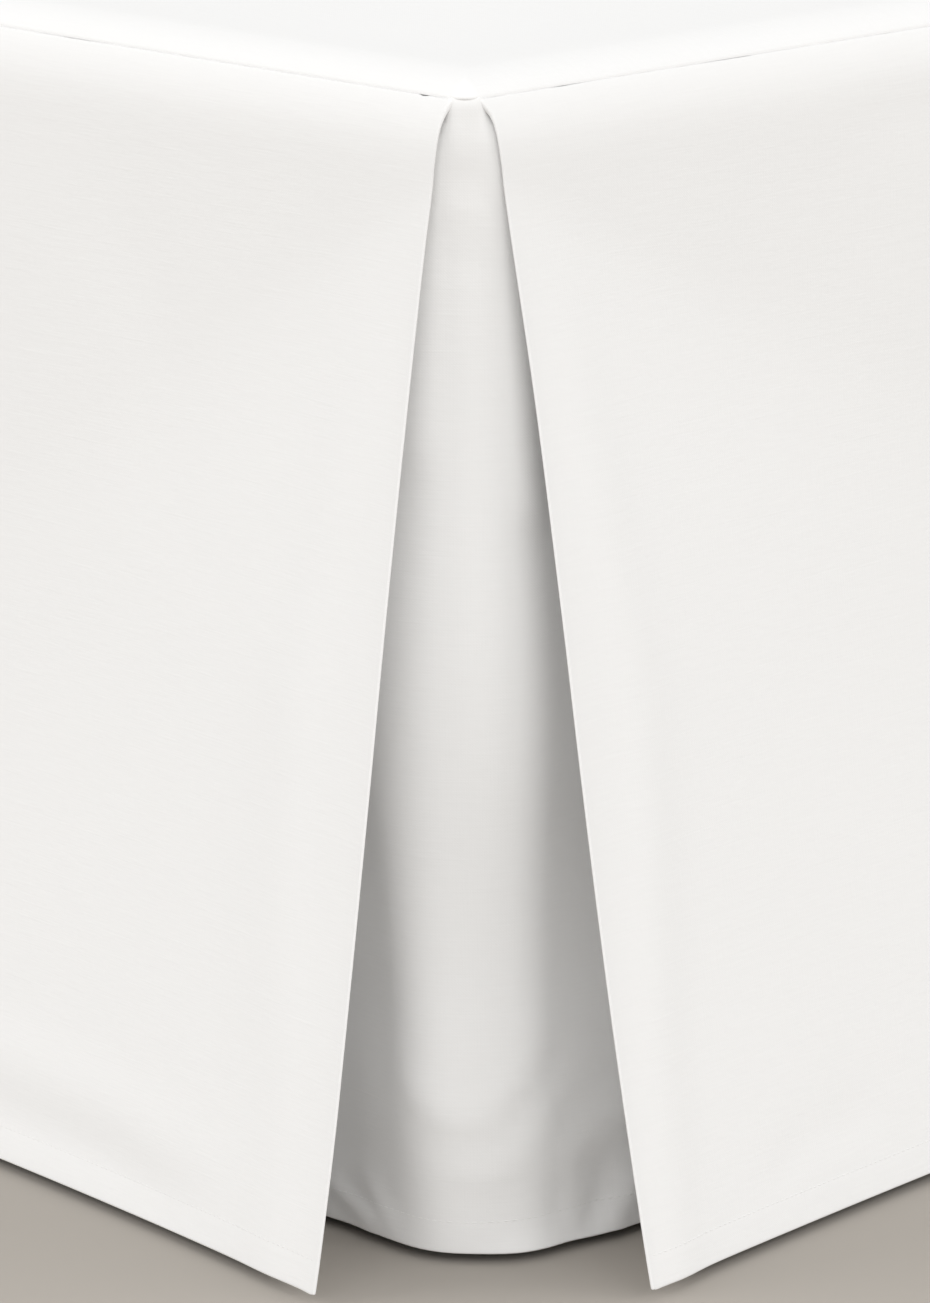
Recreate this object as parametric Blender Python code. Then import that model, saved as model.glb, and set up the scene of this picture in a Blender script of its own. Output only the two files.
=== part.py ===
"""A queen bed skirt on its box spring and plain steel bed frame, in metres with +Z up.

The skirt is a platform cloth (the deck) on the box spring, three drops sewn to its edge, and an
insert behind each foot corner.  At a foot corner each drop is folded back on itself, so that the
corner is an inverted pleat: the two fold edges swing out towards the floor, and the insert hangs
straight behind them.  The head of the bed points along +Y, its foot along -Y, the floor is z = 0.

Each cloth is modelled by its middle surface, and a Solidify modifier gives it its thickness.  A
place on a cloth is given by its distance along the side of the bed, its offset from the side of
the box spring, and its row: an angle on the rounded top edge, or a depth below that edge.
"""

import math
from collections import namedtuple

import bmesh
import bpy
from mathutils import Vector

# ---- driving dimensions, metres ----

BOX_WIDTH = 1.524  # queen box spring, 60 in
BOX_LENGTH = 2.032  # 80 in
BOX_TOP = 0.390
BOX_BOTTOM = 0.1903
BOX_TOP_EDGE = 0.030  # rounding of its upper edge
BOX_LOW_EDGE = 0.012  # rounding of its lower edge
BOX_CORNER = 0.032  # rounding of its upright corners
FLARE_ROOM = 0.031  # the bed stands this far towards the head, so that its box is centred

CLOTH = 0.0010  # thickness of the cloth
GAP = 0.00045  # between one piece and the next
LAYER = CLOTH + GAP
ON_BOX = CLOTH / 2 + GAP  # offset of the first layer of cloth from the box spring

EDGE_RADIUS = 0.025  # inner radius of the cloth's turn over the top edge
SEAM_ANGLE = math.radians(40)  # the seam of deck and drops, up from the tangent at the side
SEAM_GAP = GAP / EDGE_RADIUS  # between the deck and the drops, as an angle
TUCK_ANGLE = math.radians(48)  # the insert's top edge, under the deck
TURN_HEIGHT = BOX_TOP - EDGE_RADIUS  # where the cloth leaves the top edge and hangs
HEM_HEIGHT = 0.003  # the hems clear the floor
DROP = TURN_HEIGHT - HEM_HEIGHT
HANG_CLEAR = 0.0018  # how far the cloth stands off at the lower edge of the box spring

PLEAT_DEPTH = 0.150  # from the corner to the inner fold of the pleat
INSERT_REACH = 0.158  # the insert passes the inner fold by a seam allowance
LIFT_HOLD = 0.230  # the drop lies over two more layers up to here
LIFT_END = 0.340  # and is down on the box spring from here
FOLD_TOP, FOLD_HEM = LAYER / 2, 0.0015  # radius of the outer fold at the seam and at the hem

DECK_CORNER = 0.014  # rounding of the deck's corner, seen from above
# Rounding of the insert at the corner, in rows of (distance below the seam, radius).
NOSES = ((0, 0.015), (0.017, 0.020), (0.060, 0.028), (0.190, 0.032), (0.382, 0.035))
SHARPEST = 0.0015  # no rounding gets smaller than this
FAR_AWAY = BOX_LENGTH  # a distance past the reach of every pleat

FRAME_TOP = BOX_BOTTOM - 0.0003
TUBE = 0.040  # square steel tube of the frame
FRAME_INSET = 0.090  # from the side of the box spring to the outer face of the frame
LEG_RADIUS, GLIDE_RADIUS, GLIDE_HEIGHT = 0.017, 0.022, 0.022
LEG_STEP = 0.19  # from the end of the frame to the nearest side leg
CENTRE_LEG_STEP = 0.62  # from the end of the frame to a leg of the centre beam

# ---- how each pleat side hangs ----
# flare: how far the cloth swings out at the corner, for each metre of drop
# reach: how far along the hem the flare runs, for each metre of drop
# ridge: height of the soft ridge beside the fold edge
# edge: rows of (distance below the seam, distance from the corner to the fold edge)
PleatSide = namedtuple("PleatSide", "flare reach ridge edge")

FOOT_AT_RIGHT = PleatSide(
    flare=0.163,
    reach=1.87,
    ridge=0.0006,
    edge=((0, 0.0103), (0.008, 0.0118), (0.035, 0.0134), (0.134, 0.0115), (0.217, 0.0097), (0.382, 0.0083)),
)
SIDE_AT_RIGHT = PleatSide(
    flare=0.176,
    reach=2.27,
    ridge=0.0014,
    edge=((0, 0.0080), (0.007, 0.0105), (0.035, 0.0133), (0.160, 0.0163), (0.320, 0.0164), (0.382, 0.0192)),
)
FOOT_AT_LEFT = PleatSide(
    flare=0.151,
    reach=2.15,
    ridge=0.0010,
    edge=((0, 0.0090), (0.010, 0.0100), (0.035, 0.0120), (0.140, 0.0144), (0.265, 0.0150), (0.382, 0.0162)),
)
SIDE_AT_LEFT = PleatSide(
    flare=0.168,
    reach=1.98,
    ridge=0.0008,
    edge=((0, 0.0090), (0.010, 0.0100), (0.035, 0.0122), (0.140, 0.0120), (0.265, 0.0112), (0.382, 0.0104)),
)

# ---- how each insert bulges at the hem, metres, on its way from the corner to its end ----
# nose: beside the corner, belly: at BELLY_PLACE of the way; it lies flat again at BELLY_END
Bulge = namedtuple("Bulge", "nose belly")
BULGES_RIGHT = (Bulge(nose=0.0010, belly=-0.0020), Bulge(nose=0.0075, belly=0.0125))
BULGES_LEFT = (Bulge(nose=0.0060, belly=0.0090), Bulge(nose=0.0035, belly=0.0015))
BELLY_PLACE, BELLY_END = 0.25, 0.80

# ---- shallow waves of a long drop: (length of the wave, height at the hem, phase) ----
WAVES = ((0.62, 0.0011, 0.9), (0.37, 0.0006, 2.4))
WAVE_CLEAR = 0.40  # no waves within this distance of a pleat
RIDGE_PLACE = ((0, 0.030), (0.128, 0.043), (0.200, 0.050), (0.320, 0.037), (0.382, 0.034))
RIDGE_WIDTH = 0.013

# ---- rows and columns of the meshes ----
# A row at or below 0 is an angle on the rounded edge, negated; a row above 0 is a depth below it.
DEPTHS = tuple(DROP * part for part in (0.05, 0.12, 0.22, 0.34, 0.47, 0.60, 0.72, 0.83, 0.93, 1.0))
DROP_ROWS = tuple(-(SEAM_ANGLE - SEAM_GAP) * part for part in (1.0, 0.67, 0.33, 0.0)) + DEPTHS
INSERT_ROWS = (-TUCK_ANGLE,) + DROP_ROWS
DECK_ANGLES = tuple(math.radians(angle) for angle in (40, 50, 61, 75, 90))
DECK_STATIONS = (0.04, 0.12, LIFT_HOLD, 0.258, 0.285, 0.312, LIFT_END)
BOX_ANGLES = tuple(math.radians(angle) for angle in (0, 18, 36, 54, 72, 90))
PANEL_STEPS = (0.028, 0.042, 0.060, 0.085, 0.115, 0.150, 0.190, 0.235, 0.285, 0.340)
PANEL_SPACING = 0.095  # between the columns of a long plain run
FOLD_ANGLES = tuple(math.radians(angle) for angle in (45, 90, 135))
RETURN_PARTS = (1.0, 0.76, 0.52, 0.30, 0.12, 0.0)
INSERT_PARTS = (1.0, 0.80, 0.60, 0.42, 0.26, 0.12)
CORNER_STEPS = 5

HEAD_Y = BOX_LENGTH / 2 + FLARE_ROOM
FOOT_Y = -BOX_LENGTH / 2 + FLARE_ROOM
UP = Vector((0, 0, 1))
RIGHTWARD, LEFTWARD = Vector((1, 0, 0)), Vector((-1, 0, 0))
HEADWARD, FOOTWARD = Vector((0, 1, 0)), Vector((0, -1, 0))

# One side of the bed that a drop hangs from: the corner where it starts, its direction, its
# outward normal, its length, and the pleat sides at its two ends, or None.
Run = namedtuple("Run", "corner along outward length near far")
RIGHT_CORNER = Vector((BOX_WIDTH / 2, FOOT_Y, 0))
LEFT_CORNER = Vector((-BOX_WIDTH / 2, FOOT_Y, 0))
SIDE_LENGTH = BOX_LENGTH - BOX_CORNER
FOOT_RUN = Run(RIGHT_CORNER, LEFTWARD, FOOTWARD, BOX_WIDTH, FOOT_AT_RIGHT, FOOT_AT_LEFT)
RIGHT_RUN = Run(RIGHT_CORNER, HEADWARD, RIGHTWARD, SIDE_LENGTH, SIDE_AT_RIGHT, None)
LEFT_RUN = Run(LEFT_CORNER, HEADWARD, LEFTWARD, SIDE_LENGTH, SIDE_AT_LEFT, None)


# ---- curves and shapes of the cloth ----


def ease(x):
    """0 below 0, 1 above 1, and smooth between."""
    x = min(max(x, 0.0), 1.0)
    return x * x * (3 - 2 * x)


def between(rows, x):
    """The value at x on a smooth curve through rows of (x, value)."""
    x = min(max(x, rows[0][0]), rows[-1][0])
    i = max(k for k in range(len(rows) - 1) if rows[k][0] <= x)
    (x0, y0), (x1, y1) = rows[i], rows[i + 1]
    before, after = rows[max(i - 1, 0)], rows[min(i + 2, len(rows) - 1)]
    slope0 = (y1 - before[1]) / (x1 - before[0])
    slope1 = (after[1] - y0) / (after[0] - x0)
    step = x1 - x0
    t = (x - x0) / step
    return (
        y0 * (1 + 2 * t) * (1 - t) ** 2
        + y1 * t * t * (3 - 2 * t)
        + step * slope0 * t * (1 - t) ** 2
        - step * slope1 * t * t * (1 - t)
    )


def depth_of(row):
    return max(row, 0.0)


def below_seam(row):
    """Distance along a drop from the seam to a row."""
    if row > 0:
        return EDGE_RADIUS * SEAM_ANGLE + row
    return EDGE_RADIUS * (SEAM_ANGLE + row)


def lift(distance):
    """Extra offset of a drop and of the deck over the folded layers beside a foot corner."""
    return 2 * LAYER * (1 - ease((distance - LIFT_HOLD) / (LIFT_END - LIFT_HOLD)))


def hang(depth):
    """Offset that every cloth gains from the top edge down to the lower edge of the box spring."""
    return HANG_CLEAR * ease(depth / (TURN_HEIGHT - BOX_BOTTOM))


def flare(side, distance, depth):
    """The swing of a drop beside a pleat, a cone about the corner of the seam."""
    if depth <= 0:
        return 0.0
    left = max(0.0, 1 - distance / (side.reach * depth))
    ridge_at = between(RIDGE_PLACE, EDGE_RADIUS * SEAM_ANGLE + depth)
    ridge = side.ridge * math.exp(-(((distance - ridge_at) / RIDGE_WIDTH) ** 2))
    return depth * side.flare * left**2 + ridge * ease(depth / 0.12)


def waves(run, distance, depth):
    """Shallow waves of the long plain part of a drop, always away from the box spring."""
    clear = min(distance, run.length - distance) if run.far else distance
    height = sum(
        high * (1 + math.sin(2 * math.pi * distance / long + phase)) for long, high, phase in WAVES
    )
    return height * ease(clear / WAVE_CLEAR) * (depth / DROP) ** 1.5


def drop_offset(run, distance, depth):
    """Offset of a drop's panel from the side of the box spring."""
    total = ON_BOX + lift(distance) + hang(depth) + waves(run, distance, depth)
    total += flare(run.near, distance, depth)
    if run.far:
        total += lift(run.length - distance) + flare(run.far, run.length - distance, depth)
    return total


def on_run(run, distance, offset, row):
    """The point of a cloth at a distance along a side, an offset and a row."""
    if row > 0:
        out, height = offset, TURN_HEIGHT - row
    else:
        out = -EDGE_RADIUS + (EDGE_RADIUS + offset) * math.cos(row)
        height = TURN_HEIGHT + (EDGE_RADIUS + offset) * math.sin(-row)
    return run.corner + run.along * distance + run.outward * out + UP * height


# ---- meshes ----


def material(name, colour, roughness, metallic=0.0):
    made = bpy.data.materials.new(name)
    made.use_nodes = True
    shader = made.node_tree.nodes["Principled BSDF"]
    shader.inputs["Base Color"].default_value = (*colour, 1)
    shader.inputs["Roughness"].default_value = roughness
    shader.inputs["Metallic"].default_value = metallic
    made.diffuse_color = (*colour, 1)
    return made


def add_object(name, mesh_data, finish):
    mesh = bpy.data.meshes.new(name)
    mesh_data.to_mesh(mesh)
    mesh_data.free()
    mesh.materials.append(finish)
    made = bpy.data.objects.new(name, mesh)
    bpy.context.scene.collection.objects.link(made)
    mesh.shade_smooth()
    mesh.set_sharp_from_angle(angle=math.radians(35))
    return made


def thicken(cloth):
    solid = cloth.modifiers.new("thickness", "SOLIDIFY")
    solid.thickness = CLOTH
    solid.offset = 0
    solid.use_even_offset = True
    return cloth


def add_sheet(name, rows, finish):
    """A cloth from rows of points, every row with the same number of them."""
    mesh = bmesh.new()
    grid = [[mesh.verts.new(point) for point in row] for row in rows]
    for upper, lower in zip(grid, grid[1:]):
        for i in range(len(upper) - 1):
            mesh.faces.new((upper[i], upper[i + 1], lower[i + 1], lower[i]))
    return thicken(add_object(name, mesh, finish))


def ring_stack(rings):
    """A bmesh of faces between closed rings, listed from the lowest up, with a flat top."""
    mesh = bmesh.new()
    loops = [[mesh.verts.new(point) for point in ring] for ring in rings]
    for lower, upper in zip(loops, loops[1:]):
        count = len(lower)
        for i in range(count):
            j = (i + 1) % count
            mesh.faces.new((lower[i], lower[j], upper[j], upper[i]))
    mesh.faces.new(loops[-1])
    return mesh, loops


# ---- drops ----


def pleat_columns(run, side, row, place):
    """(distance, offset) from the inner fold of a pleat round its outer fold to the panel's start.

    place turns a distance from the pleat's own corner into one along the run."""
    depth = depth_of(row)
    radius = FOLD_TOP + (FOLD_HEM - FOLD_TOP) * depth / DROP
    turn_at = between(side.edge, below_seam(row)) + radius
    turn_offset = drop_offset(run, place(turn_at), depth)
    inner = ON_BOX + LAYER + hang(depth)
    columns = []
    for part in RETURN_PARTS:
        distance = turn_at + (PLEAT_DEPTH - turn_at) * part
        beside = drop_offset(run, place(distance), depth) - 2 * radius
        columns.append((distance, beside + (inner - beside) * ease(part)))
    for angle in FOLD_ANGLES:
        along = turn_at - radius * math.sin(angle)
        columns.append((along, turn_offset - radius - radius * math.cos(angle)))
    columns.append((turn_at, turn_offset))
    return [(place(distance), offset) for distance, offset in columns]


def panel_distances(run, start, end):
    """Columns of a panel after its start, close together beside a pleat."""
    beside = [(start + PANEL_STEPS[0]) / 2, *PANEL_STEPS]
    if run.far:
        beyond = [run.length - step for step in reversed(PANEL_STEPS)]
        beyond.append((beyond[-1] + end) / 2)
    else:
        beyond = [end]
    count = round((beyond[0] - beside[-1]) / PANEL_SPACING)
    plain = [beside[-1] + (beyond[0] - beside[-1]) * i / count for i in range(1, count)]
    return beside + plain + beyond


def drop_row(run, row):
    columns = pleat_columns(run, run.near, row, lambda distance: distance)
    closing = []
    end = run.length
    if run.far:
        closing = pleat_columns(run, run.far, row, lambda distance: run.length - distance)[::-1]
        end = closing[0][0]
    for distance in panel_distances(run, columns[-1][0], end):
        columns.append((distance, drop_offset(run, distance, depth_of(row))))
    return [on_run(run, distance, offset, row) for distance, offset in columns + closing]


def add_drop(name, run, finish):
    return add_sheet(name, [drop_row(run, row) for row in DROP_ROWS], finish)


# ---- inserts ----


def bulge_at(bulge, part):
    """Height of an insert's bulge at the hem, at a part of the way from the corner to its end."""
    if part < BELLY_PLACE:
        return bulge.nose + (bulge.belly - bulge.nose) * ease(part / BELLY_PLACE)
    return bulge.belly * (1 - ease((part - BELLY_PLACE) / (BELLY_END - BELLY_PLACE)))


def insert_row(corner, foot, bulges, row):
    """One row of an insert: along the foot of the bed, round the corner and along its side.

    foot is the direction along the foot of the bed, away from the corner.  A place on the row is
    (distance along the foot, distance along the side), both from the corner."""
    depth = depth_of(row)
    grown = (depth / DROP) ** 2
    base = ON_BOX + hang(depth)
    if row > 0:
        inset, height = 0.0, TURN_HEIGHT - row
    else:
        inset = (EDGE_RADIUS + base) * (1 - math.cos(row))
        height = TURN_HEIGHT + (EDGE_RADIUS + base) * math.sin(-row)
    radius = max(between(NOSES, below_seam(row)) - inset, SHARPEST)
    noses = [base - inset + bulge.nose * grown for bulge in bulges]
    centre = (radius - noses[1], radius - noses[0])
    sides = []
    for start, bulge in zip(centre, bulges):
        offsets = [base - inset + bulge_at(bulge, part) * grown for part in INSERT_PARTS]
        distances = [start + (INSERT_REACH - start) * part for part in INSERT_PARTS]
        sides.append(list(zip(distances, offsets)))
    places = [(distance, -offset) for distance, offset in sides[0]]
    for i in range(CORNER_STEPS + 1):
        angle = math.pi / 2 * i / CORNER_STEPS
        places.append((centre[0] - radius * math.sin(angle), centre[1] - radius * math.cos(angle)))
    places += [(-offset, distance) for distance, offset in reversed(sides[1])]
    return [corner + foot * a + HEADWARD * b + UP * height for a, b in places]


def add_insert(name, corner, foot, bulges, finish):
    return add_sheet(name, [insert_row(corner, foot, bulges, row) for row in INSERT_ROWS], finish)


# ---- deck and box spring ----


def rounded_outline(offset_at, corner_at, stations, height_at):
    """Points of a rounded rectangle round the bed, anticlockwise from above.

    offset_at, height_at and corner_at give the offset, height and rounding for a distance from
    the nearest foot corner; stations are the distances of the columns from each end of a side."""
    half = BOX_WIDTH / 2
    sides = (
        (LEFT_CORNER, RIGHTWARD, FOOTWARD, BOX_WIDTH, True, True),
        (RIGHT_CORNER, HEADWARD, RIGHTWARD, BOX_LENGTH, True, False),
        (Vector((half, HEAD_Y, 0)), LEFTWARD, HEADWARD, BOX_WIDTH, False, False),
        (Vector((-half, HEAD_Y, 0)), FOOTWARD, LEFTWARD, BOX_LENGTH, False, True),
    )
    points = []
    for corner, along, outward, length, foot_start, foot_end in sides:
        first = 0.0 if foot_start else FAR_AWAY
        offset, radius = offset_at(first), corner_at(first)
        centre = corner + (along - outward) * (radius - offset)
        for i in range(CORNER_STEPS):
            angle = math.pi / 2 * i / CORNER_STEPS
            turn = outward * math.sin(angle) - along * math.cos(angle)
            points.append(centre + turn * radius + UP * height_at(first))
        mirrored = [length - station for station in reversed(stations)]
        for place in [radius - offset, *stations, length / 2, *mirrored]:
            from_start = place if foot_start else FAR_AWAY
            from_end = length - place if foot_end else FAR_AWAY
            nearest = min(from_start, from_end)
            points.append(corner + along * place + outward * offset_at(nearest) + UP * height_at(nearest))
    return points


def add_deck(finish):
    rings = []
    for angle in DECK_ANGLES:
        hold = 1 - ease((angle - SEAM_ANGLE) / (math.pi / 2 - SEAM_ANGLE))

        def radial(distance, hold=hold):
            return EDGE_RADIUS + ON_BOX + lift(distance) * hold

        rings.append(
            rounded_outline(
                lambda distance: -EDGE_RADIUS + radial(distance) * math.cos(angle),
                lambda distance: max(DECK_CORNER - radial(distance) * (1 - math.cos(angle)), SHARPEST),
                DECK_STATIONS,
                lambda distance: TURN_HEIGHT + radial(distance) * math.sin(angle),
            )
        )
    mesh, _ = ring_stack(rings)
    return thicken(add_object("deck", mesh, finish))


def add_box_spring(finish):
    rings = []
    for angle in (math.pi / 2, math.pi / 4):
        inset = BOX_LOW_EDGE * (1 - math.cos(angle))
        rings.append((inset, BOX_BOTTOM + BOX_LOW_EDGE * (1 - math.sin(angle))))
    rings.append((0.0, BOX_BOTTOM + BOX_LOW_EDGE))
    for angle in BOX_ANGLES:
        inset = BOX_TOP_EDGE * (1 - math.cos(angle))
        rings.append((inset, BOX_TOP - BOX_TOP_EDGE * (1 - math.sin(angle))))
    outlines = [
        rounded_outline(
            lambda distance: -inset,
            lambda distance: max(BOX_CORNER - inset, SHARPEST),
            (),
            lambda distance: height,
        )
        for inset, height in rings
    ]
    mesh, loops = ring_stack(outlines)
    mesh.faces.new(reversed(loops[0]))
    return add_object("box_spring", mesh, finish)


# ---- bed frame ----


def add_bar(name, low, high, finish):
    """A length of square tube between two corners of its box."""
    mesh = bmesh.new()
    bmesh.ops.create_cube(mesh, size=1)
    size = Vector(high) - Vector(low)
    bmesh.ops.scale(mesh, vec=size, verts=mesh.verts)
    bar = add_object(name, mesh, finish)
    bar.location = (Vector(low) + Vector(high)) / 2
    bevel = bar.modifiers.new("rounded edges", "BEVEL")
    bevel.width = 0.004
    bevel.segments = 2
    return bar


def add_post(name, radius, low, high, place, finish, edge=0.0):
    """An upright round post, with its lower edge rounded where edge is given."""
    mesh = bmesh.new()
    bmesh.ops.create_cone(
        mesh, cap_ends=True, segments=20, radius1=radius, radius2=radius, depth=high - low
    )
    if edge:
        rim = [e for e in mesh.edges if all(v.co.z < 0 for v in e.verts)]
        bmesh.ops.bevel(mesh, geom=rim, offset=edge, segments=2, profile=0.5, affect="EDGES")
    post = add_object(name, mesh, finish)
    post.location = (place[0], place[1], (low + high) / 2)
    return post


def add_frame(steel, plastic):
    half = BOX_WIDTH / 2 - FRAME_INSET
    foot, head = FOOT_Y + FRAME_INSET, HEAD_Y - FRAME_INSET
    low = FRAME_TOP - TUBE
    for name, sign in (("rail_right", 1), ("rail_left", -1)):
        inner, outer = sorted((sign * half, sign * (half - TUBE)))
        add_bar(name, (inner, foot, low), (outer, head, FRAME_TOP), steel)
    inside = half - TUBE - GAP
    add_bar("rail_foot", (-inside, foot, low), (inside, foot + TUBE, FRAME_TOP), steel)
    add_bar("rail_head", (-inside, head - TUBE, low), (inside, head, FRAME_TOP), steel)
    add_bar(
        "beam_centre",
        (-TUBE / 2, foot + TUBE + GAP, low),
        (TUBE / 2, head - TUBE - GAP, FRAME_TOP),
        steel,
    )
    centre_line = half - TUBE / 2
    middle = (foot + head) / 2
    places = {
        "foot_right": (centre_line, foot + LEG_STEP),
        "foot_left": (-centre_line, foot + LEG_STEP),
        "middle_right": (centre_line, middle),
        "middle_left": (-centre_line, middle),
        "head_right": (centre_line, head - LEG_STEP),
        "head_left": (-centre_line, head - LEG_STEP),
        "centre_foot": (0, foot + CENTRE_LEG_STEP),
        "centre_head": (0, head - CENTRE_LEG_STEP),
    }
    for name, place in places.items():
        add_post("leg_" + name, LEG_RADIUS, GLIDE_HEIGHT + GAP, low - GAP, place, steel)
        add_post("glide_" + name, GLIDE_RADIUS, 0, GLIDE_HEIGHT, place, plastic, edge=0.004)


def main():
    for old in list(bpy.data.objects):
        bpy.data.objects.remove(old)
    cotton = material("skirt_cotton", (0.86, 0.86, 0.845), 0.85)
    ticking = material("box_ticking", (0.70, 0.69, 0.66), 0.9)
    steel = material("frame_steel", (0.05, 0.05, 0.055), 0.45, 0.3)
    plastic = material("glide_plastic", (0.03, 0.03, 0.03), 0.5)
    add_deck(cotton)
    add_drop("drop_foot", FOOT_RUN, cotton)
    add_drop("drop_right", RIGHT_RUN, cotton)
    add_drop("drop_left", LEFT_RUN, cotton)
    add_insert("insert_right", RIGHT_CORNER, LEFTWARD, BULGES_RIGHT, cotton)
    add_insert("insert_left", LEFT_CORNER, RIGHTWARD, BULGES_LEFT, cotton)
    add_box_spring(ticking)
    add_frame(steel, plastic)


main()
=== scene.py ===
"""The looks of a queen bed skirt on its box spring and steel bed frame, in metres with +Z up.

The head of the bed points along +Y and its foot along -Y.  Each cloth of the skirt repeats the folds
of its solid at a finer step.  A hanging cloth starts as a grid of points on its middle surface, with
one row for each distance below the seam, and each point also has a place on the flat cloth: u across
it and v down from the seam.  The deck's flat places are its x and y.  Seams, hems and creases are
given on the flat places and raised along the surface's normals.  The weave is in the material, which
reads the same flat places.
"""

import math
from collections import namedtuple

import bmesh
import bpy
import numpy as np
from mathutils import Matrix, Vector


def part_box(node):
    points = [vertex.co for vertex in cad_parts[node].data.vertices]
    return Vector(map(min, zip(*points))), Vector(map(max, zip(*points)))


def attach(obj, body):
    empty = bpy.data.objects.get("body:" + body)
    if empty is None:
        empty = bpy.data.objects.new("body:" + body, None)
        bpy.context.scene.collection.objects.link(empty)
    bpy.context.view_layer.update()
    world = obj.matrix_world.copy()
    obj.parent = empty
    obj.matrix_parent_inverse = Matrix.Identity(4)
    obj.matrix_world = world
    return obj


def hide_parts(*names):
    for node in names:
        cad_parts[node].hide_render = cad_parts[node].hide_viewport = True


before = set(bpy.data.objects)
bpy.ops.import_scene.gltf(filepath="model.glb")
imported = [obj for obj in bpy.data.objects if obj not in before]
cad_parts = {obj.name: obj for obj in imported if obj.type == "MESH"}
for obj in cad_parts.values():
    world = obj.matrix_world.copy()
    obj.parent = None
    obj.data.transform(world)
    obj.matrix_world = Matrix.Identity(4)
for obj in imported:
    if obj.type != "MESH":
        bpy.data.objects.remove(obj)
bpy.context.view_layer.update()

MM = 0.001

# ---- sizes read from the frame ----

BOX_LOW, BOX_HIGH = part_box("box_spring")
HALF_WIDTH = BOX_HIGH.x
FOOT_Y, HEAD_Y = BOX_LOW.y, BOX_HIGH.y
BOX_WIDTH, BOX_LENGTH = BOX_HIGH.x - BOX_LOW.x, HEAD_Y - FOOT_Y
BOX_TOP, BOX_BOTTOM = BOX_HIGH.z, BOX_LOW.z

# ---- the folds of the solids ----

# These are the solids' own numbers, but for a few that are set closer to the real folds.
LAYER = 0.00145  # from one layer of cloth to the next
ON_BOX = 0.00095  # offset of the first layer from the box spring
EDGE_RADIUS = 0.025  # inner radius of the cloth's turn over the top edge
SEAM_ANGLE = math.radians(40)  # the seam of deck and drops, up from the tangent at the side
TUCK_ANGLE = math.radians(48)  # the insert's top edge, under the deck
SEAM_DROP = EDGE_RADIUS * SEAM_ANGLE  # along the cloth from the seam to the straight drop
TURN_HEIGHT = BOX_TOP - EDGE_RADIUS
TURN_SOFTNESS = 0.0025  # the change from the rounded edge to the straight drop is this soft
HEM_HEIGHT = 0.003  # from the floor to the hem's edge
DROP = TURN_HEIGHT - HEM_HEIGHT
HEM_BELOW = SEAM_DROP + DROP  # from the seam to the hem's edge
HANG_CLEAR = 0.0018  # a drop stands this much further out below the box spring
PLEAT_DEPTH = 0.150  # from the corner to the inner fold of the pleat
INSERT_REACH = 0.158  # from the corner to each end of the insert
LIFT_HOLD, LIFT_END = 0.230, 0.340  # a drop lies over the pleat's layers, and then comes back down
DECK_CORNER = 0.014
SHARPEST = 0.0015  # the least rounding of an upright corner
BOX_CORNER = 0.032
BOX_TOP_EDGE, BOX_LOW_EDGE = 0.030, 0.012
FAR_AWAY = BOX_LENGTH  # stands for no foot corner near

# How each side of a pleat hangs: flare and reach for each metre of drop, the height of the soft
# ridge beside the fold, and rows of (distance below the seam, distance from corner to fold edge).
PleatSide = namedtuple("PleatSide", "flare reach ridge edge")
FOOT_AT_RIGHT = PleatSide(
    flare=0.1595,
    reach=1.72,
    ridge=0.0006,
    edge=(
        (0, 0.0085), (0.006, 0.0095), (0.014, 0.0097), (0.024, 0.0109), (0.047, 0.0119),
        (0.100, 0.0110), (0.217, 0.0073), (0.316, 0.0052), (0.345, 0.0053), (0.382, 0.0065),
    ),
)
SIDE_AT_RIGHT = PleatSide(
    flare=0.176,
    reach=2.27,
    ridge=0.0014,
    edge=(
        (0, 0.0091), (0.0055, 0.0117), (0.014, 0.0122), (0.024, 0.0137), (0.047, 0.0149), (0.094, 0.0162),
        (0.157, 0.0156), (0.220, 0.0149), (0.284, 0.0152), (0.342, 0.0168), (0.382, 0.0187),
    ),
)
FOOT_AT_LEFT = PleatSide(
    flare=0.151,
    reach=2.15,
    ridge=0.0010,
    edge=((0, 0.0090), (0.010, 0.0100), (0.035, 0.0120), (0.140, 0.0144), (0.265, 0.0150), (0.382, 0.0162)),
)
SIDE_AT_LEFT = PleatSide(
    flare=0.168,
    reach=1.98,
    ridge=0.0008,
    edge=((0, 0.0090), (0.010, 0.0100), (0.035, 0.0122), (0.140, 0.0120), (0.265, 0.0112), (0.382, 0.0104)),
)
RIDGE_PLACE = ((0, 0.030), (0.128, 0.043), (0.200, 0.050), (0.320, 0.037), (0.382, 0.034))
RIDGE_WIDTH = 0.013
RIDGE_TOP = 0.12  # the ridge has its full height from this far down

# Height of each insert's bulge at the hem: beside the corner, and at BELLY_PLACE of the way along.
Bulge = namedtuple("Bulge", "nose belly")
BULGES_RIGHT = (Bulge(nose=0.0010, belly=-0.0020), Bulge(nose=0.0075, belly=0.0125))
BULGES_LEFT = (Bulge(nose=0.0060, belly=0.0090), Bulge(nose=0.0035, belly=0.0015))
BELLY_PLACE, BELLY_END = 0.25, 0.80
# Rounding of the insert at the corner, in rows of (distance below the seam, radius).
NOSES = ((0, 0.015), (0.017, 0.020), (0.060, 0.028), (0.190, 0.032), (0.382, 0.035))

# Shallow waves of a long drop: (length of the wave, height at the hem, phase).
WAVES = ((0.62, 0.0011, 0.9), (0.37, 0.0006, 2.4))
WAVE_CLEAR = 0.40
WAVE_GROWTH = 1.5  # power of the depth that the waves grow with

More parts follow.
